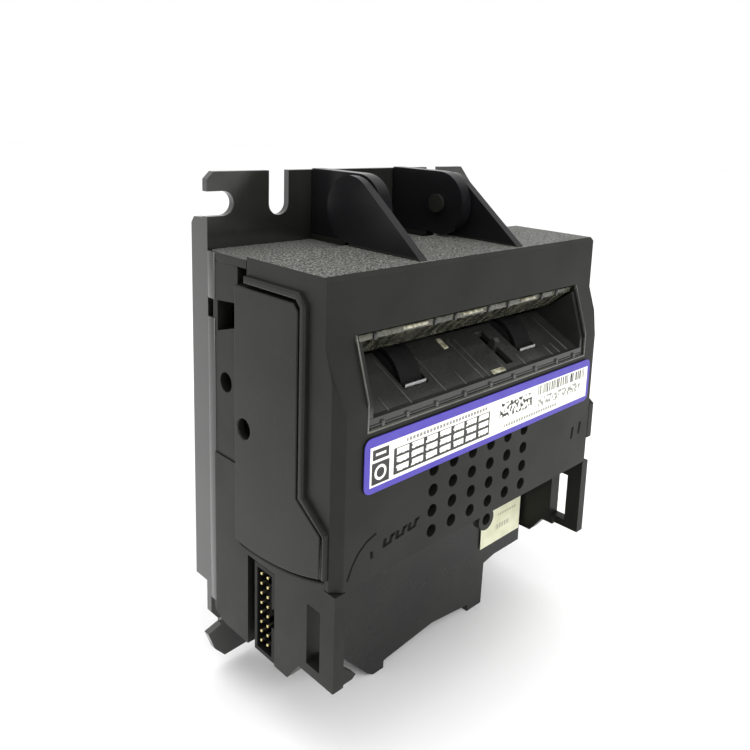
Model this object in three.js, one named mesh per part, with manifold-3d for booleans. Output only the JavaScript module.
// Bill validator transport head: a fixed chassis on a hook-in mounting plate, and a front door that
// swings up on two arms. Millimetres, +Z up. Drafting frame: x across the body from its left wall,
// y from the lower front face back to the plate, z from the underside of the front legs.
import * as THREE from 'three';
import { mergeVertices } from 'three/addons/utils/BufferGeometryUtils.js';
import Module from 'manifold-3d';

const wasm = await Module();
wasm.setup();

// ---- driving dimensions -------------------------------------------------------------------------
const GAP = 0.3;            // clearance between pieces that touch
const BODY_W = 100;         // across the side walls
const WALL = 2.2;           // moulded shell thickness
const FACE_Z0 = 23.4;       // lower edge of the front face
const TOP_Z = 91.2;         // top of the front cover
const STEP_Y = 4.4;         // setback of the upper front face
const SLANT_Z0 = 63.2;      // slant between the lower and upper front faces
const SLANT_Z1 = 76.5;
const COVER_REAR_Y = 32.6;  // rear edge of the cover's top
const CORNER_BEVEL = 2.2;
const SIDE_EDGE_Y = 11.9;   // front edge of the side openings
const SIDE_FOOT_Y = 3.5;    // the same edge below its diagonal
const SIDE_DIAG_Z0 = 36;
const SIDE_DIAG_Z1 = 41.4;
const SIDE_TOP_Z = 85.2;
const BEAD_W = 1.8;         // raised rim round the side openings
const BEAD_H = 1.2;
const PANEL_GAP = 0.8;      // open joint round a side panel
const PANEL_PROUD = 0.9;    // outer face of a side panel beyond the side wall
const PANEL_T = 2.2;
const PANEL_REAR_Y = 36.5;

const HINGE_Y = 31.4;       // door pivot, across the whole width
const HINGE_Z = 100.4;
const ARM_R = 8.4;          // round end of a door arm
const ARM_T = 2.4;
const ARM_X = [28.7, BODY_W - 34.6];    // left face of each arm
const ARM_GAP = 0.4;        // between an arm and its lug
const ARM_TOE_Y = 5.6;
const LUG_R = 8.8;          // fixed hinge lug
const LUG_T = 3.6;
const LUG_X = [ARM_X[0] + ARM_T + ARM_GAP, ARM_X[1] - ARM_GAP - LUG_T];
const PIN_R = 1.5;
const SWING_R = 79.9;       // radius of the joint under the side panels, about the pivot

const MOUTH_X0 = 8.3;
const MOUTH_X1 = BODY_W - 7.9;
const MOUTH_Z0 = 58.1;
const MOUTH_Z1 = 78.1;
const CHUTE_Z = 59.9;       // chute surface at its front edge
const CHUTE_SLOPE = 0.52;
const CHUTE_Y1 = 16.5;
const CHUTE_T = 1.6;
const CHUTE_SIDE_T = 1.2;

const VENT_R = 1.6;
const VENT_X0 = 29.5;
const VENT_Z0 = 27.2;
const VENT_DX = 7.1;
const VENT_DZ = 5.2;
const VENT_COLS = 6;
const VENT_ROWS = 4;

const PLATE_Y = 50;         // front face of the mounting plate
const PLATE_T = 2;
const PLATE_INSET = 0.5;    // plate edge inside the side wall
const PLATE_TOP_Z = 108.8;
const PLATE_LOW_Z = -9.3;
const FLANGE_D = 5.3;       // side flange behind the plate
const FLANGE_Z0 = 1.8;
const FLANGE_Z1 = 97.9;
const HOOK_SLOT = 6;        // height of the hook slots and width of the top slots
const HOOK_DEPTH = 7.3;
const HOOK_Z = 101.1;
const TOP_SLOT_X = 21.1;
const TOP_SLOT_DEPTH = 11.4;
const TONGUE_Z = -21.3;

const FRAME_X0 = WALL + 0.4;            // inner wall of a side frame
const FRAME_X1 = FRAME_X0 + 1.8;
const FRAME_Y0 = 8;
const FRAME_TOP_Z = 86.5;
const STRIP_X = 0.3;        // outer face of the rear strip
const SIDE_BOTTOM_Z = -5.5;
const LEG_D = 12;
const REAR_FOOT_Z = -2.8;
const LEG_GUSSET = [7.1, 5.6];  // reach and height of the web inside the left foot
const SEAM = 0.4;           // how far joined walls run into each other
const KEEL_Y0 = 16.3;       // lowest stretch of the side wall
const KEEL_Y1 = PLATE_Y - 7.7;
const LEG_SLOT = [4.7, 9.3, 2.4, 17.2];
const STRIP_WINDOW = [[45.4, 71.3], [45.4, 78.8], [37.6, 79.5], [37.6, 73.5]];
const STRIP_POCKET = [47.3, 48.9, 74.2, 78.6];
const REAR_ROUND = 3.4;     // of the side frames' and bridge's rear corners
const STRIP_HOLE = [41.9, 59.2];
const PANEL_HOLE = [32.7, 50.6];
const HOLE_R = 2.5;
const BRIDGE_TOP_Z = 90.3;
const BRIDGE_T = 2;

const HOUSING_Y = 20;       // front wall of the lower housing
const HOUSING_WALL = 2;
const HOUSING_FOOT_Z = -24.7;
const HOUSING_TOP_Z = 21;
const FOOT_X = [31.3, BODY_W - 29.6];   // left edge of each foot strip
const FOOT_W = [3.9, 6.6];
const FOOT_H = 2.2;
const SOLE_RISE = [54.4, 1.9];  // where the sole is highest, and how far it rises

const UPPER = [17, 60];     // y, z of the belt shafts
const LOWER = [20, 32];
const UPPER_R = 9;
const LOWER_R = 6;
const BELT_T = 1.2;
const BELT_W = 7;
const BELT_SLOT_Y = UPPER[0] - UPPER_R - BELT_T - 1.6;    // front end of the chute's belt slots
const BELT_X = [28, BODY_W - 28];       // belt centres
const SHAFT_R = 2;
const BUSH_R = 4;
const PATH_GAP = 1.8;       // room for the note behind and over the belts
const ROOF_R = UPPER_R + BELT_T + GAP + PATH_GAP - 0.4;   // roof guide's underside, about the upper shaft
const ROOF_A0 = 115;        // where the roof's round part starts, in degrees

const MODULE = 0.8;
const TEETH_PINION = 12;
const TEETH_IDLER = 20;
const TEETH_DRIVE = 32;
const BACKLASH = 0.34;
const GEAR_T = 3;
const GEAR_X1 = BODY_W - FRAME_X1 - 0.6;
const GEAR_X0 = GEAR_X1 - GEAR_T;
const DRIVE_TO_IDLER = (MODULE * (TEETH_DRIVE + TEETH_IDLER)) / 2;
const IDLER_TO_MOTOR = (MODULE * (TEETH_IDLER + TEETH_PINION)) / 2;
const TRAIN_SPAN = 0.9214;  // straight line from drive to motor over the two centre distances
const MOTOR_R = 10.5;
const MOTOR_Y = HOUSING_Y + HOUSING_WALL + MOTOR_R + 0.7;
const MOTOR = [MOTOR_Y, LOWER[1] - Math.sqrt(
  (TRAIN_SPAN * (DRIVE_TO_IDLER + IDLER_TO_MOTOR)) ** 2 - (MOTOR_Y - LOWER[0]) ** 2,
)];
const MOTOR_L = 29;
const MOTOR_X1 = BODY_W - 21;
const MOTOR_X0 = MOTOR_X1 - MOTOR_L;
const IDLER = meetingPoint(LOWER, DRIVE_TO_IDLER, MOTOR, IDLER_TO_MOTOR);
const ENCODER_R = 8.5;

const PINCH_R = 3.6;
const PINCH_SHAFT_R = 1.2;
const PINCH = [UPPER[0], UPPER[1] + UPPER_R + BELT_T + GAP + 0.5 + PINCH_R];
const BRACKET_T = 1.6;
const PINCH_END_X = 11;     // shaft ends in from each side
const FLAG = [12, 57.6];    // y, z of the exit flag's pin
const FLAG_X = BELT_X[1] - 11;
const FLAG_PIN_R = 1;

const INLET_Z0 = 33;
const INLET_Z1 = 43;
const INLET_WALL = 1.8;
const INLET_X = 8.4;
const GUIDE_FACE_Y = UPPER[0] + UPPER_R + BELT_T + GAP + PATH_GAP;
const GUIDE_T = 1.8;
const LENS_X = 12;
const LENS_Z = 49;
const LENS_H = 5;

const PIN_PITCH = 2.54;
const PIN_ROWS = 8;
const PIN_SIDE = 0.64;
const PIN_ROOM = 0.3;       // round each pin
const PINS_Y0 = 25.06;      // front row
const PINS_Z1 = 15.38;      // top pair
const PINS_Z0 = PINS_Z1 - (PIN_ROWS - 1) * PIN_PITCH;
const HEADER_Y = [PINS_Y0 - 3.36, PINS_Y0 + PIN_PITCH + 2.1];
const HEADER_Z = [PINS_Z0 - 2.9, PINS_Z1 + 2.72];
const HEADER_X = [0.2, 5.8];
const HEADER_WALL = 1.1;
const HEADER_DEPTH = 2.4;   // of the socket, from its rim
const GROOVE_W = 2.6;       // upright groove in the side wall behind the header

const BOARD_T = 1.6;
const MAIN_BOARD_Y = PLATE_Y - 5.5;
const MAIN_BOARD_X = [33, BODY_W - 25];
const MAIN_BOARD_Z = [-18.2, 26];
const CHIP = 10;
const CHIP_T = 1.4;
const CAPACITOR_R = 3.2;
const CAPACITOR_L = 9.7;

const LABEL = [6.9, BODY_W - 4.5, 43.8, 56.5];
const LABEL_R = 2;
const LABEL_T = 0.25;
const STICKER = [BODY_W - 25.5, BODY_W - 6, -5.5, 6];
const SCREW_R = 1.4;
const SCREW_HEAD_R = 2.8;
const SCREW_Z = [12, 78];
const SCREW_X = 7.6;
const BOSS_R = SCREW_R + 1.9;
const BOSS_Y0 = PLATE_Y - 4.8;

// ---- geometry helpers ---------------------------------------------------------------------------
const FACETS = 24;

function arc(cy, cz, r, a0, a1, steps) {
  const points = [];
  for (let i = 0; i <= steps; i += 1) {
    const a = THREE.MathUtils.degToRad(a0 + ((a1 - a0) * i) / steps);
    points.push([cy + r * Math.cos(a), cz + r * Math.sin(a)]);
  }
  return points;
}

function ring(cu, cv, r, facets = FACETS) {
  return arc(cu, cv, r, 0, 360 - 360 / facets, facets - 1);
}

function rect(u0, u1, v0, v1) {
  return [[u0, v0], [u1, v0], [u1, v1], [u0, v1]];
}

function toSolid(geometry) {
  geometry.deleteAttribute('normal');
  geometry.deleteAttribute('uv');
  const merged = mergeVertices(geometry, 1e-5);
  return new wasm.Manifold(new wasm.Mesh({
    numProp: 3,
    vertProperties: new Float32Array(merged.attributes.position.array),
    triVerts: new Uint32Array(merged.index.array),
  }));
}

function extrude(points, depth, basis, origin) {
  const shape = new THREE.Shape(points.map(([u, v]) => new THREE.Vector2(u, v)));
  const geometry = new THREE.ExtrudeGeometry(shape, { depth, bevelEnabled: false, steps: 1 });
  const matrix = new THREE.Matrix4().makeBasis(...basis).setPosition(...origin);
  return toSolid(geometry.applyMatrix4(matrix));
}

const X = new THREE.Vector3(1, 0, 0);
const Y = new THREE.Vector3(0, 1, 0);
const Z = new THREE.Vector3(0, 0, 1);
const BACK = new THREE.Vector3(0, -1, 0);

// outline in (y, z), solid from x0 to x1
function prismX(points, x0, x1) {
  return extrude(points, x1 - x0, [Y, Z, X], [x0, 0, 0]);
}

// outline in (x, z), solid from y0 to y1
function prismY(points, y0, y1) {
  return extrude(points, y1 - y0, [X, Z, BACK], [0, y1, 0]);
}

// outline in (x, y), solid from z0 to z1
function prismZ(points, z0, z1) {
  return extrude(points, z1 - z0, [X, Y, Z], [0, 0, z0]);
}

function box(x0, x1, y0, y1, z0, z1) {
  return prismZ(rect(x0, x1, y0, y1), z0, z1);
}

function rodX([y, z], r, x0, x1, facets = FACETS) {
  return prismX(ring(y, z, r, facets), x0, x1);
}

function rodY([x, z], r, y0, y1, facets = FACETS) {
  return prismY(ring(x, z, r, facets), y0, y1);
}

function join(...solids) {
  return solids.reduce((whole, solid) => whole.add(solid));
}

function cut(solid, ...tools) {
  return tools.reduce((whole, tool) => whole.subtract(tool), solid);
}

const mirrorX = (points) => points.map(([x, z]) => [BODY_W - x, z]);

// ---- parts of the object ------------------------------------------------------------------------
const group = new THREE.Group();

function piece(name, solid, color, roughness = 0.6, metalness = 0) {
  const { vertProperties, triVerts } = solid.getMesh();
  const geometry = new THREE.BufferGeometry();
  geometry.setAttribute('position', new THREE.BufferAttribute(new Float32Array(vertProperties), 3));
  geometry.setIndex(new THREE.BufferAttribute(new Uint32Array(triVerts), 1));
  geometry.computeVertexNormals();
  const material = new THREE.MeshStandardMaterial({ color, roughness, metalness });
  const mesh = new THREE.Mesh(geometry, material);
  mesh.name = name;
  group.add(mesh);
}

const MOULDED = 0x3c3c38;
const GLOSSY = 0x1c1c1c;
const STEEL = 0xc4c6c8;
const BRONZE = 0xb08a48;
const ACETAL = 0xe6e2d6;
const BOARD_GREEN = 0x1d5a35;
const RUBBER_BLACK = 0x141414;
const HOUSING_BLACK = 0x242423;
const PIVOT = [HINGE_Y, HINGE_Z];

// height of the swing joint of radius r at depth y
function swingZ(y, r) {
  return HINGE_Z - Math.sqrt(r * r - (y - HINGE_Y) ** 2);
}

function swingLine(y0, y1, r, steps = 14) {
  const points = [];
  for (let i = 0; i <= steps; i += 1) {
    const y = y0 + ((y1 - y0) * i) / steps;
    points.push([y, swingZ(y, r)]);
  }
  return points;
}

// Mounting plate: flat face with open hook slots, top slots, side flanges and bottom tongues.
function mountingPlate() {
  const left = PLATE_INSET;
  const right = BODY_W - PLATE_INSET;
  const face = [
    [left, FLANGE_Z0 - 8.4], [left, PLATE_TOP_Z - 1.8], [left + 1.8, PLATE_TOP_Z],
    [right - 7.5, PLATE_TOP_Z], [right - 2.9, HOOK_Z + HOOK_SLOT / 2], [right, HOOK_Z],
    [right, FLANGE_Z0 - 8.4], [right - 2, PLATE_LOW_Z], [left + 2, PLATE_LOW_Z],
  ];
  const tongue = [
    [3.5, PLATE_LOW_Z + 1], [3.5, -11.5], [-0.5, -12.7], [1.4, -17.9],
    [4.4, TONGUE_Z], [14, TONGUE_Z + 0.5], [14, PLATE_LOW_Z + 1],
  ];
  let plate = join(
    prismY(face, PLATE_Y, PLATE_Y + PLATE_T),
    prismY(tongue, PLATE_Y, PLATE_Y + PLATE_T),
    prismY(mirrorX(tongue), PLATE_Y, PLATE_Y + PLATE_T),
  );
  const back = PLATE_Y + PLATE_T + FLANGE_D;
  const flange = [
    [PLATE_Y + 0.5, FLANGE_Z0], [back, FLANGE_Z0], [back, FLANGE_Z1 - 1.9],
    [back - 1.2, FLANGE_Z1 - 0.3], [PLATE_Y + 0.5, FLANGE_Z1],
  ];
  const slotR = HOOK_SLOT / 2;
  const hook = [
    [-2, HOOK_Z - slotR], [left + HOOK_DEPTH - slotR, HOOK_Z - slotR],
    ...arc(left + HOOK_DEPTH - slotR, HOOK_Z, slotR, -75, 75, 10),
    [left + HOOK_DEPTH - slotR, HOOK_Z + slotR], [-2, HOOK_Z + slotR],
  ];
  const slotFoot = PLATE_TOP_Z - TOP_SLOT_DEPTH + slotR;
  const topSlot = [
    [TOP_SLOT_X - slotR, PLATE_TOP_Z + 2], [TOP_SLOT_X - slotR, slotFoot],
    ...arc(TOP_SLOT_X, slotFoot, slotR, 195, 345, 10),
    [TOP_SLOT_X + slotR, slotFoot], [TOP_SLOT_X + slotR, PLATE_TOP_Z + 2],
  ];
  const through = [PLATE_Y - 1, PLATE_Y + PLATE_T + 1];
  plate = join(
    plate,
    prismX(flange, left, left + PLATE_T),
    prismX(flange, right - PLATE_T, right),
  );
  plate = cut(
    plate,
    prismY(hook, ...through), prismY(mirrorX(hook), ...through),
    prismY(topSlot, ...through), prismY(mirrorX(topSlot), ...through),
    box(INLET_X - GAP, BODY_W - INLET_X + GAP, ...through, INLET_Z0 - GAP, INLET_Z1 + GAP),
  );
  for (const z of SCREW_Z) {
    for (const x of [SCREW_X, BODY_W - SCREW_X]) {
      plate = cut(plate, rodY([x, z], SCREW_R + GAP, ...through, 12));
    }
  }
  return plate;
}

// What the rounding takes off a rear upright corner, on the left or the right.
function rearCorner(side) {
  const rear = PLATE_Y - GAP;
  const r = REAR_ROUND;
  const wedge = [[-1, rear - r], ...arc(r, rear - r, r, 180, 90, 6), [r, rear + 1], [-1, rear + 1]];
  return prismZ(side ? mirrorX(wedge) : wedge, SIDE_BOTTOM_Z - 1, BRIDGE_TOP_Z + 1);
}

// Side frame: lower side wall with its leg, inner bearing wall and the strip behind the side panel.
function sideFrame(side) {
  const x = (u) => (side ? BODY_W - u : u);
  const slab = (points, u0, u1) => prismX(points, Math.min(x(u0), x(u1)), Math.max(x(u0), x(u1)));
  const rear = PLATE_Y - GAP;
  const legTop = FACE_Z0 - GAP;
  const joint = SWING_R + PANEL_GAP / 2;
  const skin = [
    [0, 0], [LEG_D, 0], [KEEL_Y0, SIDE_BOTTOM_Z], [KEEL_Y1, SIDE_BOTTOM_Z],
    [KEEL_Y1 + 3.3, SIDE_BOTTOM_Z + 1.1], [rear, REAR_FOOT_Z], [rear, 40], [PANEL_REAR_Y + GAP, 40],
    ...swingLine(PANEL_REAR_Y + GAP, SIDE_FOOT_Y, joint),
    [SIDE_FOOT_Y, legTop], [0, legTop],
  ];
  const wall = [
    [FRAME_Y0, 0], [LEG_D, 0], [KEEL_Y0, SIDE_BOTTOM_Z], [KEEL_Y1, SIDE_BOTTOM_Z], [rear, REAR_FOOT_Z],
    [rear, FRAME_TOP_Z + 1.5], [PANEL_REAR_Y, FRAME_TOP_Z + 1.5], [PANEL_REAR_Y - 3, FRAME_TOP_Z],
    [FRAME_Y0 + 5, FRAME_TOP_Z], [FRAME_Y0 + 2, FRAME_TOP_Z - 8], [FRAME_Y0, 50],
  ];
  const strip = rect(PANEL_REAR_Y + GAP, rear, 30, BRIDGE_TOP_Z - BRIDGE_T - GAP);
  let frame = join(
    slab(skin, 0, FRAME_X0 + SEAM),
    slab(wall, FRAME_X0, FRAME_X1),
    slab(strip, STRIP_X, FRAME_X0 + SEAM),
  );
  for (const z of SCREW_Z) {
    const centre = [x(SCREW_X), z];
    const web = rect(BOSS_Y0, rear, z - SCREW_R, z + SCREW_R);
    frame = cut(
      join(frame, rodY(centre, BOSS_R, BOSS_Y0, rear, 16), slab(web, FRAME_X1 - SEAM, SCREW_X)),
      rodY(centre, SCREW_R + GAP, BOSS_Y0 + 0.8, rear + 1, 12),
    );
  }
  frame = cut(
    frame,
    slab(rect(...LEG_SLOT), -1, FRAME_X0 + 3),
    slab(STRIP_WINDOW, -1, FRAME_X1 + 1),
    slab(rect(...STRIP_POCKET), -1, FRAME_X0),
    rearCorner(side),
    slab(ring(...STRIP_HOLE, HOLE_R, 16), -1, FRAME_X1 + 1),
    slab(ring(...UPPER, BUSH_R + GAP), -1, FRAME_X1 + 1),
    slab(ring(...LOWER, BUSH_R + GAP), -1, FRAME_X1 + 1),
  );
  if (side) {
    frame = cut(frame, slab(ring(...IDLER, PIN_R + GAP, 12), 1, FRAME_X1 + 1));
  } else {
    const low = Math.min(SIDE_BOTTOM_Z, HEADER_Z[0]) - 1;
    const socket = rect(HEADER_Y[0] - GAP, HEADER_Y[1] + GROOVE_W, low, HEADER_Z[1] + GAP);
    const [reach, height] = LEG_GUSSET;
    const gusset = [[WALL, 0], [reach - 1, 0], [reach, 0.8], [WALL, height]];
    frame = join(cut(frame, slab(socket, -1, FRAME_X1 + 1)), prismY(gusset, 0.6, 2.6));
  }
  return frame;
}

// Rear top bridge with the two fixed hinge lugs.
function topBridge() {
  const rear = PLATE_Y - GAP;
  const web = [
    [HINGE_Y, HINGE_Z + LUG_R], [rear, HINGE_Z + LUG_R], [rear, BRIDGE_TOP_Z - 0.5],
    [HINGE_Y + 5, BRIDGE_TOP_Z - 0.5], [HINGE_Y + 3, HINGE_Z - 6], [HINGE_Y, HINGE_Z - 6],
  ];
  const shelf = rect(COVER_REAR_Y + 0.7, rear, BRIDGE_TOP_Z - BRIDGE_T, BRIDGE_TOP_Z);
  let bridge = cut(prismX(shelf, STRIP_X, BODY_W - STRIP_X), rearCorner(0), rearCorner(1));
  for (const x of LUG_X) {
    bridge = join(bridge, rodX(PIVOT, LUG_R, x, x + LUG_T, 40), prismX(web, x, x + LUG_T));
  }
  return cut(bridge, ...LUG_X.map((x) => rodX(PIVOT, PIN_R + GAP, x - 1, x + LUG_T + 1, 16)));
}

// Door arm: triangular plate with a round end about the pivot.
function doorArm(x0) {
  const slope = THREE.MathUtils.degToRad(126.9);
  const shoulder = [HINGE_Y + ARM_R * Math.cos(slope), HINGE_Z + ARM_R * Math.sin(slope)];
  const outline = [
    [ARM_TOE_Y, TOP_Z - 0.6], shoulder, [HINGE_Y, HINGE_Z],
    [HINGE_Y, HINGE_Z - ARM_R], [HINGE_Y - 0.6, TOP_Z - 0.6],
  ];
  return join(prismX(outline, x0, x0 + ARM_T), rodX(PIVOT, ARM_R, x0, x0 + ARM_T, 40));
}

// Front cover: front face with the mouth, top, side returns, rims, vents, screw lug and arms.
function frontCover() {
  const outer = [
    [0, FACE_Z0], [0, SLANT_Z0], [STEP_Y, SLANT_Z1], [STEP_Y, TOP_Z - 1],
    [STEP_Y + 1, TOP_Z], [COVER_REAR_Y, TOP_Z], [COVER_REAR_Y, FACE_Z0],
  ];
  const inner = [
    [WALL, FACE_Z0 - 3], [WALL, SLANT_Z0 - 0.6], [STEP_Y + WALL, SLANT_Z1 - 0.3],
    [STEP_Y + WALL, TOP_Z - WALL], [COVER_REAR_Y + 3, TOP_Z - WALL], [COVER_REAR_Y + 3, FACE_Z0 - 3],
  ];
  const bevel = [
    [-1, CORNER_BEVEL], [0, CORNER_BEVEL], [CORNER_BEVEL, 0], [CORNER_BEVEL, -1], [-1, -1],
  ];
  const opening = [
    [COVER_REAR_Y + 1, SIDE_TOP_Z], [SIDE_EDGE_Y + 1.4, SIDE_TOP_Z], [SIDE_EDGE_Y, SIDE_TOP_Z - 1.4],
    [SIDE_EDGE_Y, SIDE_DIAG_Z1], [SIDE_FOOT_Y, SIDE_DIAG_Z0], [SIDE_FOOT_Y, FACE_Z0 - 1],
    [COVER_REAR_Y + 1, FACE_Z0 - 1],
  ];
  const rim = [
    [COVER_REAR_Y, SIDE_TOP_Z], [SIDE_EDGE_Y + 1.4, SIDE_TOP_Z], [SIDE_EDGE_Y, SIDE_TOP_Z - 1.4],
    [SIDE_EDGE_Y, SIDE_DIAG_Z1], [SIDE_FOOT_Y, SIDE_DIAG_Z0], [SIDE_FOOT_Y, 26],
    [SIDE_FOOT_Y - 1, 26], [SIDE_FOOT_Y - 1, SIDE_DIAG_Z0 + 0.6],
    [SIDE_EDGE_Y - BEAD_W, SIDE_DIAG_Z1 + 1], [SIDE_EDGE_Y - BEAD_W, SIDE_TOP_Z - 0.7],
    [SIDE_EDGE_Y + 0.7, SIDE_TOP_Z + BEAD_W], [COVER_REAR_Y, SIDE_TOP_Z + BEAD_W],
  ];
  const far = BODY_W - CORNER_BEVEL;
  let cover = cut(
    prismX(outer, 0, BODY_W),
    prismX(inner, WALL, BODY_W - WALL),
    prismZ(bevel, 0, SLANT_Z1 + 2),
    prismZ(mirrorX(bevel), 0, SLANT_Z1 + 2),
    prismX(opening, -1, WALL + 0.2),
    prismX(opening, far - 0.2, BODY_W + 1),
    box(MOUTH_X0, MOUTH_X1, -1, STEP_Y + WALL + 1, MOUTH_Z0, MOUTH_Z1),
  );
  const lugX = VENT_X0 + 3 * VENT_DX;
  const lugZ = VENT_Z0 - VENT_DZ;
  const cornerPad = [[0.4, 30.5], [0.4, 41], [2.5, 42.5], [3.3, 38], [3.3, 30.5]];
  cover = join(
    cover,
    prismX(rim, -BEAD_H, 0.5),
    prismX(rim, BODY_W - 0.5, BODY_W + BEAD_H),
    rodY([lugX, lugZ], VENT_R + 1.4, 0, WALL - 0.2),
    prismY([[lugX - 8, FACE_Z0 + 0.5], [lugX - 1, FACE_Z0 + 0.5], [lugX - 1, lugZ - 1.5]], 1, WALL),
    prismX(cornerPad, BODY_W - 1.2, BODY_W + BEAD_H),
    doorArm(ARM_X[0]), doorArm(ARM_X[1]),
  );
  for (let column = 0; column < VENT_COLS; column += 1) {
    for (let row = 0; row < VENT_ROWS; row += 1) {
      const centre = [VENT_X0 + column * VENT_DX, VENT_Z0 + row * VENT_DZ];
      cover = cut(cover, rodY(centre, VENT_R, -1, WALL + 1, 14));
    }
  }
  return cut(
    cover,
    rodY([lugX, lugZ], VENT_R, -1, WALL + 1, 14),
    rodX(PIVOT, PIN_R + GAP, ARM_X[0] + 0.7, ARM_X[0] + ARM_T + 1, 16),
    rodX(PIVOT, PIN_R + GAP, ARM_X[1] - 1, ARM_X[1] + ARM_T - 0.7, 16),
  );
}

// Side panel that closes the door's side, its lower edge round about the pivot.
function sidePanel(side) {
  const front = SIDE_EDGE_Y + PANEL_GAP;
  const foot = SIDE_FOOT_Y + PANEL_GAP;
  const top = SIDE_TOP_Z - PANEL_GAP;
  const outline = [
    [front, top - 1.6], [front + 1.6, top], [PANEL_REAR_Y, top],
    ...swingLine(PANEL_REAR_Y, foot, SWING_R - PANEL_GAP / 2),
    [foot, SIDE_DIAG_Z0 - 0.4], [front, SIDE_DIAG_Z1 - 0.4],
  ];
  const x0 = side ? BODY_W + PANEL_PROUD - PANEL_T : -PANEL_PROUD;
  return cut(
    prismX(outline, x0, x0 + PANEL_T),
    prismX(ring(...PANEL_HOLE, HOLE_R, 16), x0 - 1, x0 + PANEL_T + 1),
  );
}

const chuteZ = (y) => CHUTE_Z + CHUTE_SLOPE * (y - 0.5);

// Exit chute: ribbed sloping floor with cheeks, belt slots open at the back and a flag slot.
function exitChute() {
  const x0 = MOUTH_X0 + 0.4;
  const x1 = MOUTH_X1 - 0.4;
  const floor = [
    [0.4, MOUTH_Z0 + 0.4], [0.4, CHUTE_Z + 0.6], [1.6, CHUTE_Z + 0.7], [2, chuteZ(2)],
    [CHUTE_Y1, chuteZ(CHUTE_Y1)], [CHUTE_Y1, chuteZ(CHUTE_Y1) - CHUTE_T],
    [2.8, chuteZ(2.8) - CHUTE_T], [2.8, MOUTH_Z0 + 0.4],
  ];
  const [roofStart] = arc(...UPPER, ROOF_R, ROOF_A0, 90, 1);
  const cheek = [
    [0.5, MOUTH_Z0 + 0.6], [0.5, SLANT_Z0], [STEP_Y + 0.2, SLANT_Z1 - 0.4],
    [roofStart[0] - 0.6, roofStart[1] + 0.1], [CHUTE_Y1, UPPER[1] + ROOF_R - 2.3],
    [CHUTE_Y1, chuteZ(CHUTE_Y1) - CHUTE_T],
  ];
  const [flagY, flagZ] = FLAG;
  const rib = [
    [flagY - 4, chuteZ(flagY - 4) - 0.8], [flagY + 2.6, chuteZ(flagY + 2.6) - 0.8],
    [flagY + 2.2, flagZ - 2.2], [flagY - 2.2, flagZ - 2.2],
  ];
  const chute = join(
    prismX(floor, x0, x1),
    prismX(cheek, x0, x0 + CHUTE_SIDE_T),
    prismX(cheek, x1 - CHUTE_SIDE_T, x1),
    prismX(rib, FLAG_X - 3.4, FLAG_X - 1.9),
    prismX(rib, FLAG_X + 1.9, FLAG_X + 3.4),
  );
  const half = BELT_W / 2 + 0.6;
  const under = MOUTH_Z0 - 4;
  return cut(
    chute,
    ...BELT_X.map((x) => box(x - half, x + half, BELT_SLOT_Y, UPPER[0] + 3, under, MOUTH_Z1)),
    box(FLAG_X - 1.5, FLAG_X + 1.5, 3.2, flagY + 2.5, under, MOUTH_Z1),
    rodX(FLAG, FLAG_PIN_R + GAP, FLAG_X - 5, FLAG_X + 5, 12),
  );
}

// Exit flag: the little lever that the outgoing note tips.
function exitFlag() {
  const [y, z] = FLAG;
  const arm = [
    [y - 1.6, z + 1], [y - 4.4, z + 8.4], [y - 3.6, z + 9.3], [y - 2.4, z + 8.6], [y + 1.6, z + 1],
  ];
  return cut(
    join(rodX(FLAG, 1.9, FLAG_X - 1.1, FLAG_X + 1.1, 16), prismX(arm, FLAG_X - 0.9, FLAG_X + 0.9)),
    rodX(FLAG, FLAG_PIN_R + GAP, FLAG_X - 3, FLAG_X + 3, 12),
  );
}

// Upper guide: the mouth's roof, curved over the belts, with brackets for the pinch shaft.
function upperGuide() {
  const under = arc(...UPPER, ROOF_R, ROOF_A0, 73, 6);
  const over = arc(...UPPER, ROOF_R + 1.6, 73, ROOF_A0 - 3, 6);
  const roof = [[STEP_Y + 0.6, MOUTH_Z1 - 0.5], ...under, ...over, [STEP_Y + 2.2, MOUTH_Z1 - 0.4]];
  const x0 = MOUTH_X0 + 0.6;
  const x1 = MOUTH_X1 - 0.6;
  let guide = prismX(roof, x0, x1);
  const [y, z] = PINCH;
  const bracket = [[y - 4, z - 2.8], [y - 4, z + 3.8], [y + 4, z + 3.8], [y + 4, z - 2.2]];
  for (const x of [PINCH_END_X + 1, (BODY_W - BRACKET_T) / 2, BODY_W - PINCH_END_X - 1 - BRACKET_T]) {
    guide = join(guide, prismX(bracket, x, x + BRACKET_T));
  }
  const half = BELT_W / 2 + 0.4;
  return cut(
    guide,
    ...BELT_X.map((x) => box(x - half, x + half, y - 4.4, y + 7, z - 7, z + 6)),
    rodX(PINCH, PINCH_SHAFT_R + GAP, 5, BODY_W - 5, 12),
  );
}

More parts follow.
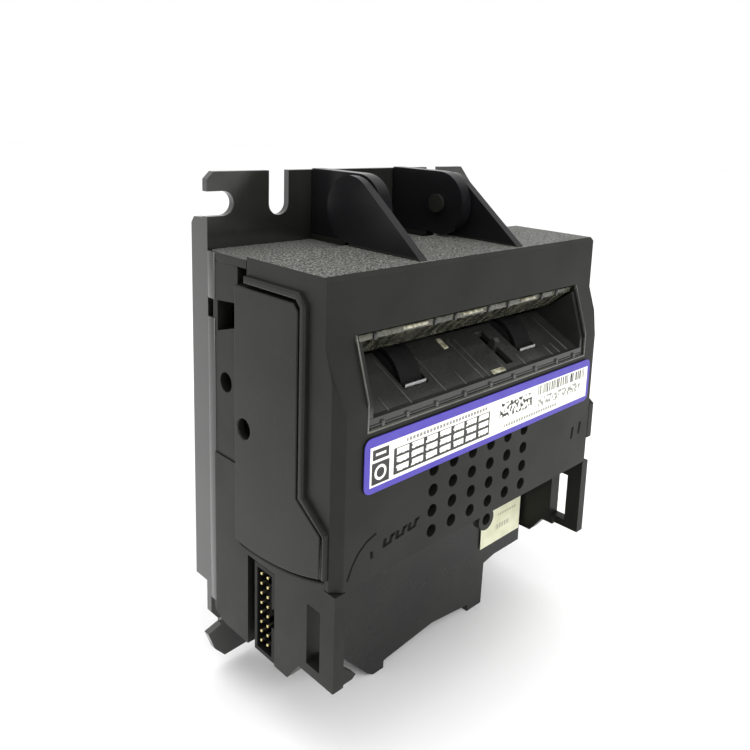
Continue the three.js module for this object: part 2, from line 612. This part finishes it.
// Lower housing: an open-topped tray for the boards and motor, with the feet it stands on.
function lowerHousing() {
  const x0 = FRAME_X1 + 0.5;
  const x1 = BODY_W - x0;
  const w = HOUSING_WALL;
  const foot = HOUSING_FOOT_Z;
  const sole = foot + FOOT_H;
  const [footA, footB] = FOOT_X;
  const step = footB + FOOT_W[1];
  const wing = -10.4;
  const shoulder = HEADER_Z[0] - 1.9;
  const outer = [
    [x0, HOUSING_TOP_Z], [x0, shoulder], [footA - 11.4, -13.4], [footA - 2.1, foot + 1.4], [footA, foot],
    [footA + FOOT_W[0], foot], [footA + FOOT_W[0], sole], [SOLE_RISE[0], sole + SOLE_RISE[1]],
    [footB, sole], [footB, foot],
    [step, foot], [step + 0.4, wing - 1], [step + 5.3, wing], [x1, wing], [x1, HOUSING_TOP_Z],
  ];
  const inner = [
    [x0 + w, HOUSING_TOP_Z + 9], [x0 + w, shoulder + 1.3], [footA - 10.3, -11.9], [footA - 0.7, sole + w],
    [SOLE_RISE[0], sole + SOLE_RISE[1] + w], [step - 1.9, sole + w], [step - 1.5, wing + 0.8],
    [step + 5.2, wing + w], [x1 - w, wing + w],
    [x1 - w, HOUSING_TOP_Z + 9],
  ];
  const rear = PLATE_Y - GAP;
  const top = HOUSING_TOP_Z + 1;
  const bossSide = SCREW_X + BOSS_R + 0.7;
  const bossFloor = SCREW_Z[0] - BOSS_R - 0.7;
  return cut(
    prismY(outer, HOUSING_Y, rear),
    prismY(inner, HOUSING_Y + w, rear + 1),
    box(x0 - 1, x0 + w + 1, HEADER_Y[0] - GAP, HEADER_Y[1] + GAP, HEADER_Z[0] - 3, HEADER_Z[1] + GAP),
    box(x0 - 1, bossSide, BOSS_Y0 - 2.6, rear + 1, bossFloor, top),
    box(BODY_W - bossSide, x1 + 1, BOSS_Y0 - 2.6, rear + 1, bossFloor, top),
    box(GEAR_X0 - 1, x1 + 1, HOUSING_Y - 1, HOUSING_Y + 10, 17, top),
    box(x1 - w - 1, x1 + 1, HOUSING_Y + 3, MOTOR[0] + 12.8, MOTOR[1] - 7, top),
  );
}

// Outline round two pulleys: arcs joined by their outer tangents.
function beltOutline(r1, r2) {
  const dy = LOWER[0] - UPPER[0];
  const dz = LOWER[1] - UPPER[1];
  const along = THREE.MathUtils.radToDeg(Math.atan2(dz, dy));
  const lean = THREE.MathUtils.radToDeg(Math.acos((r1 - r2) / Math.hypot(dy, dz)));
  return [
    ...arc(...UPPER, r1, along + lean, along + 360 - lean, 22),
    ...arc(...LOWER, r2, along - lean, along + lean, 14),
  ];
}

function belt(x) {
  const half = BELT_W / 2;
  const inner = beltOutline(UPPER_R + GAP, LOWER_R + GAP);
  const outer = beltOutline(UPPER_R + GAP + BELT_T, LOWER_R + GAP + BELT_T);
  return cut(prismX(outer, x - half, x + half), prismX(inner, x - half - 1, x + half + 1));
}

// Rear note guide behind the belts, curving over their tops.
function rearGuide() {
  const face = GUIDE_FACE_Y;
  const r = face - UPPER[0];
  const t = GUIDE_T;
  const outline = [
    [face, INLET_Z1 + 1], ...arc(...UPPER, r, 0, 66, 8), ...arc(...UPPER, r + t, 66, 0, 8),
    [face + t, INLET_Z1 + 1],
  ];
  const x0 = FRAME_X1 + 1.4;
  const x1 = BODY_W - FRAME_X1 - 1.4;
  return cut(
    prismX(outline, x0, x1),
    box(LENS_X - GAP, BODY_W - LENS_X + GAP, face - 1, face + t + 1, LENS_Z - GAP, LENS_Z + LENS_H + GAP),
    box(GEAR_X0 - 1, x1 + 1, 10, face + t + 1, INLET_Z1 - 2, LOWER[1] + 20),
  );
}

// Inlet: rectangular throat through the mounting plate.
function inletGuide() {
  const x0 = INLET_X;
  const x1 = BODY_W - INLET_X;
  const w = INLET_WALL;
  const front = GUIDE_FACE_Y + 1.2;
  return cut(
    box(x0, x1, front, PLATE_Y + PLATE_T + FLANGE_D, INLET_Z0, INLET_Z1),
    box(x0 + w, x1 - w, front - 1, PLATE_Y + 20, INLET_Z0 + w, INLET_Z1 - w),
  );
}

// ---- gears --------------------------------------------------------------------------------------
// Point at r0 from the first centre and r1 from the second, on the rear side.
function meetingPoint([y0, z0], r0, [y1, z1], r1) {
  const d = Math.hypot(y1 - y0, z1 - z0);
  const a = (r0 * r0 - r1 * r1 + d * d) / (2 * d);
  const h = Math.sqrt(r0 * r0 - a * a);
  return [y0 + (a * (y1 - y0) - h * (z1 - z0)) / d, z0 + (a * (z1 - z0) + h * (y1 - y0)) / d];
}

// Involute gear outline about a centre, phase in radians for the first tooth's middle.
function gearOutline([cy, cz], teeth, phase) {
  const pitch = (MODULE * teeth) / 2;
  const base = pitch * Math.cos(THREE.MathUtils.degToRad(20));
  const root = pitch - 1.25 * MODULE;
  const tip = pitch + 0.9 * MODULE;
  const involute = (r) => Math.sqrt((r / base) ** 2 - 1) - Math.acos(base / r);
  const half = Math.PI / 2 / teeth - BACKLASH / 4 / pitch + involute(pitch);
  const start = Math.max(base, root) * 1.001;
  const radii = [start, pitch, tip];
  const points = [];
  for (let i = 0; i < teeth; i += 1) {
    const middle = phase + (i * 2 * Math.PI) / teeth;
    const flank = [[root, half - involute(start)], ...radii.map((r) => [r, half - involute(r)])];
    for (const [r, a] of flank) {
      points.push([cy + r * Math.cos(middle - a), cz + r * Math.sin(middle - a)]);
    }
    for (const [r, a] of flank.reverse()) {
      points.push([cy + r * Math.cos(middle + a), cz + r * Math.sin(middle + a)]);
    }
  }
  return points;
}

// Phase that puts a gap of the second gear on a tooth of the first.
function meshPhase(from, to, teethFrom, teethTo, phaseFrom) {
  const line = Math.atan2(to[1] - from[1], to[0] - from[0]);
  return line + Math.PI + Math.PI / teethTo - ((phaseFrom - line) * teethFrom) / teethTo;
}

const DRIVE_PHASE = 0;
const IDLER_PHASE = meshPhase(LOWER, IDLER, TEETH_DRIVE, TEETH_IDLER, DRIVE_PHASE);
const PINION_PHASE = meshPhase(IDLER, MOTOR, TEETH_IDLER, TEETH_PINION, IDLER_PHASE);

function gear(centre, teeth, phase, bore) {
  return cut(
    prismX(gearOutline(centre, teeth, phase), GEAR_X0, GEAR_X1),
    rodX(centre, bore, GEAR_X0 - 1, GEAR_X1 + 1, 16),
  );
}

function motorPinion() {
  return join(
    prismX(gearOutline(MOTOR, TEETH_PINION, PINION_PHASE), GEAR_X0, GEAR_X1),
    rodX(MOTOR, SHAFT_R - 0.8, MOTOR_X1 + GAP, GEAR_X0 + 0.5, 16),
  );
}

// ---- turned and small parts ---------------------------------------------------------------------
function pulley(centre, r, x) {
  return cut(
    rodX(centre, r, x - BELT_W / 2 + 0.2, x + BELT_W / 2 - 0.2, 36),
    rodX(centre, SHAFT_R + GAP, x - 10, x + 10, 16),
  );
}

function bushing(centre, side) {
  const x = (u) => (side ? BODY_W - u : u);
  const rod = (r, u0, u1) => rodX(centre, r, Math.min(x(u0), x(u1)), Math.max(x(u0), x(u1)));
  const flange = FRAME_X0 - GAP;
  return cut(
    join(rod(BUSH_R, flange - 0.2, FRAME_X1 + 0.2), rod(BUSH_R + 1, flange - 0.6, flange)),
    rod(SHAFT_R + GAP, 0, FRAME_X1 + 1),
  );
}

function roller(x) {
  return cut(rodX(PINCH, PINCH_R, x - 3, x + 3), rodX(PINCH, PINCH_SHAFT_R + GAP, x - 5, x + 5, 12));
}

function beltStrip(x) {
  const y = BELT_SLOT_Y + GAP;
  return box(x - BELT_W / 2, x + BELT_W / 2, y, y + 0.6, chuteZ(y) - 1.2, chuteZ(y) + 0.7);
}

function hingePin(index) {
  const x0 = LUG_X[index];
  const x1 = x0 + LUG_T;
  const head = index ? [x0 - GAP - 1, x0 - GAP] : [x1 + GAP, x1 + GAP + 1];
  const shank = index ? [x0 - 0.5, ARM_X[1] + ARM_T - 1] : [ARM_X[0] + 1, x1 + 0.5];
  return join(rodX(PIVOT, PIN_R, ...shank, 16), rodX(PIVOT, PIN_R + 1.1, ...head, 16));
}

function plateScrew(x, z) {
  const head = PLATE_Y + PLATE_T + GAP;
  return cut(
    join(
      rodY([x, z], SCREW_R, BOSS_Y0 + 1.2, head + 0.5, 12),
      rodY([x, z], SCREW_HEAD_R, head, head + 2, 20),
    ),
    box(x - SCREW_HEAD_R, x + SCREW_HEAD_R, head + 1.2, head + 3, z - 0.35, z + 0.35),
  );
}

function pinCentres() {
  const centres = [];
  for (let row = 0; row < PIN_ROWS; row += 1) {
    for (let column = 0; column < 2; column += 1) {
      centres.push([PINS_Y0 + column * PIN_PITCH, PINS_Z0 + row * PIN_PITCH]);
    }
  }
  return centres;
}

// One square bar at each pin, from x0 to x1, half as wide as h.
function pinBars(h, x0, x1) {
  return pinCentres().map(([y, z]) => box(x0, x1, y - h, y + h, z - h, z + h));
}

// Shrouded pin header in the left wall, open outwards, keyed at its front wall.
function connectorHeader() {
  const [x0, x1] = HEADER_X;
  const [y0, y1] = HEADER_Y;
  const [z0, z1] = HEADER_Z;
  const w = HEADER_WALL;
  const floor = x0 + HEADER_DEPTH;
  const middle = (z0 + z1) / 2;
  return cut(
    box(x0, x1, y0, y1, z0, z1),
    box(x0 - 1, floor, y0 + w, y1 - w, z0 + w, z1 - w),
    box(x0 - 1, floor, y0 - 1, y0 + w + 1, middle - 2.5, middle + 2.5),
    ...pinBars(PIN_SIDE / 2 + PIN_ROOM, x0, x1 + 1),
  );
}

// The header's pins, held together by their solder side.
function headerPins() {
  const solderX = HEADER_X[1] + 2.8;
  const edge = 0.8;
  const solder = box(
    solderX, solderX + 0.4,
    PINS_Y0 - edge, PINS_Y0 + PIN_PITCH + edge,
    PINS_Z0 - edge, PINS_Z1 + edge,
  );
  return join(solder, ...pinBars(PIN_SIDE / 2, HEADER_X[0] + 0.4, solderX + 0.2));
}

// Upright board behind the header, drilled for the pins.
function connectorBoard() {
  const x0 = HEADER_X[1] + 1.3;
  const x1 = HEADER_X[1] + 2.4;
  const board = box(x0, x1, HEADER_Y[0] + 0.6, HEADER_Y[1] + 10.3, PINS_Z0 - 2, PINS_Z1 + 3.6);
  return cut(board, ...pinBars(PIN_SIDE / 2 + PIN_ROOM, x0 - 1, x1 + 1));
}

function label() {
  const [x0, x1, z0, z1] = LABEL;
  const r = LABEL_R;
  const outline = [
    ...arc(x1 - r, z1 - r, r, 0, 90, 4), ...arc(x0 + r, z1 - r, r, 90, 180, 4),
    ...arc(x0 + r, z0 + r, r, 180, 270, 4), ...arc(x1 - r, z0 + r, r, 270, 360, 4),
  ];
  return prismY(outline, -GAP - LABEL_T, -GAP);
}

// Motor can with its front boss.
function driveMotor() {
  const shoulder = MOTOR_X1 - 1.5;
  return join(rodX(MOTOR, MOTOR_R, MOTOR_X0, shoulder, 32), rodX(MOTOR, 3.5, shoulder - 0.5, MOTOR_X1, 16));
}

// Upright steel plate that carries the motor's front.
function motorBracket() {
  const [y, z] = MOTOR;
  return cut(
    box(MOTOR_X1 - 1.2, MOTOR_X1 + 0.3, y - 10.8, PLATE_Y - 0.8, z - 11.6, z + 14.5),
    rodX(MOTOR, 3.8, MOTOR_X1 - 3, MOTOR_X1 + 3, 20),
  );
}

// Disc on the motor's rear shaft end.
function encoderDisc() {
  return join(
    rodX(MOTOR, ENCODER_R, MOTOR_X0 - 2.4, MOTOR_X0 - 1.8, 32),
    rodX(MOTOR, 1.2, MOTOR_X0 - 3.4, MOTOR_X0 - GAP, 16),
  );
}

// Round rod along x, its ends in from both side walls.
function crossRod(centre, r, inset) {
  return rodX(centre, r, inset, BODY_W - inset, 20);
}

// ---- the assembly -------------------------------------------------------------------------------
const SIDES = ['left', 'right'];
const [lensBack, boardFront] = [GUIDE_FACE_Y + 3, GUIDE_FACE_Y + 3.4];
const [mainX0, mainX1] = MAIN_BOARD_X;
const boardFace = MAIN_BOARD_Y - GAP;
const [stickerX0, stickerX1, stickerZ0, stickerZ1] = STICKER;
const stickerY = HOUSING_Y - GAP;

piece('mounting_plate', mountingPlate(), GLOSSY, 0.35);
piece('top_bridge', topBridge(), MOULDED);
piece('lower_housing', lowerHousing(), HOUSING_BLACK);
piece('inlet_guide', inletGuide(), GLOSSY);
piece('rear_guide', rearGuide(), GLOSSY);
piece('sensor_lens', box(
  LENS_X, BODY_W - LENS_X, GUIDE_FACE_Y + 0.2, lensBack, LENS_Z, LENS_Z + LENS_H,
), 0x552222);
piece('sensor_board', box(
  LENS_X - 2, BODY_W - LENS_X + 2, boardFront, boardFront + BOARD_T, LENS_Z - 4, LENS_Z + 11,
), BOARD_GREEN);
piece('main_board', box(
  mainX0, mainX1, MAIN_BOARD_Y, MAIN_BOARD_Y + BOARD_T, ...MAIN_BOARD_Z,
), BOARD_GREEN);
piece('processor_chip', box(
  mainX0 + 7, mainX0 + 7 + CHIP, boardFace - CHIP_T, boardFace, -15, -15 + CHIP,
), RUBBER_BLACK);
piece('connector_board', connectorBoard(), BOARD_GREEN);
piece('connector_header', connectorHeader(), RUBBER_BLACK);
piece('header_pins', headerPins(), 0xd9b84a, 0.3, 1);
piece('drive_motor', driveMotor(), STEEL, 0.35, 1);
piece('motor_bracket', motorBracket(), STEEL, 0.4, 1);
piece('encoder_disc', encoderDisc(), 0x303030);
piece('motor_pinion', motorPinion(), ACETAL);
piece('idler_gear', gear(IDLER, TEETH_IDLER, IDLER_PHASE, PIN_R + GAP), ACETAL);
piece('idler_pin', rodX(IDLER, PIN_R, GEAR_X0 - 1.4, BODY_W - 1.4, 16), STEEL, 0.3, 1);
piece('drive_gear', gear(LOWER, TEETH_DRIVE, DRIVE_PHASE, SHAFT_R + GAP), ACETAL);
piece('drive_shaft', crossRod(LOWER, SHAFT_R, FRAME_X0), STEEL, 0.3, 1);
piece('upper_shaft', crossRod(UPPER, SHAFT_R, FRAME_X0), STEEL, 0.3, 1);
SIDES.forEach((side, i) => {
  const capacitor = [mainX0 + 24 + 9 * i, MOTOR[1] - MOTOR_R - 6.5];
  const screwX = i ? BODY_W - SCREW_X : SCREW_X;
  piece(`board_capacitor_${side}`, rodY(
    capacitor, CAPACITOR_R, boardFace - CAPACITOR_L, boardFace, 20,
  ), 0x223344, 0.4);
  piece(`side_frame_${side}`, sideFrame(i), MOULDED);
  piece(`side_panel_${side}`, sidePanel(i), MOULDED);
  piece(`lower_pulley_${side}`, pulley(LOWER, LOWER_R, BELT_X[i]), 0x2a2a2a);
  piece(`upper_pulley_${side}`, pulley(UPPER, UPPER_R, BELT_X[i]), 0x2a2a2a);
  piece(`belt_${side}`, belt(BELT_X[i]), RUBBER_BLACK, 0.9);
  piece(`belt_strip_${side}`, beltStrip(BELT_X[i]), STEEL, 0.25, 1);
  piece(`drive_bushing_${side}`, bushing(LOWER, i), BRONZE, 0.5);
  piece(`upper_bushing_${side}`, bushing(UPPER, i), BRONZE, 0.5);
  piece(`hinge_pin_${side}`, hingePin(i), STEEL, 0.3, 1);
  piece(`pinch_roller_${side}`, roller(BELT_X[i]), RUBBER_BLACK, 0.9);
  piece(`plate_screw_${side}_lower`, plateScrew(screwX, SCREW_Z[0]), STEEL, 0.35, 1);
  piece(`plate_screw_${side}_upper`, plateScrew(screwX, SCREW_Z[1]), STEEL, 0.35, 1);
});
piece('front_cover', frontCover(), MOULDED);
piece('exit_chute', exitChute(), 0x26282a, 0.3);
piece('upper_guide', upperGuide(), 0x2c2d2c, 0.3);
piece('pinch_shaft', crossRod(PINCH, PINCH_SHAFT_R, PINCH_END_X), STEEL, 0.3, 1);
piece('exit_flag', exitFlag(), RUBBER_BLACK);
piece('flag_pin', rodX(FLAG, FLAG_PIN_R, FLAG_X - 4, FLAG_X + 4, 12), STEEL, 0.3, 1);
piece('info_label', label(), 0xf2f2e6, 0.5);
piece('housing_sticker', box(
  stickerX0, stickerX1, stickerY - LABEL_T, stickerY, stickerZ0, stickerZ1,
), 0xe1e1be);

// Origin: middle of the overall box, at the underside of the feet.
const frontmost = -GAP - LABEL_T;
const rearmost = PLATE_Y + PLATE_T + FLANGE_D;
group.position.set(-BODY_W / 2, -(frontmost + rearmost) / 2, -HOUSING_FOOT_Z);

export default group;
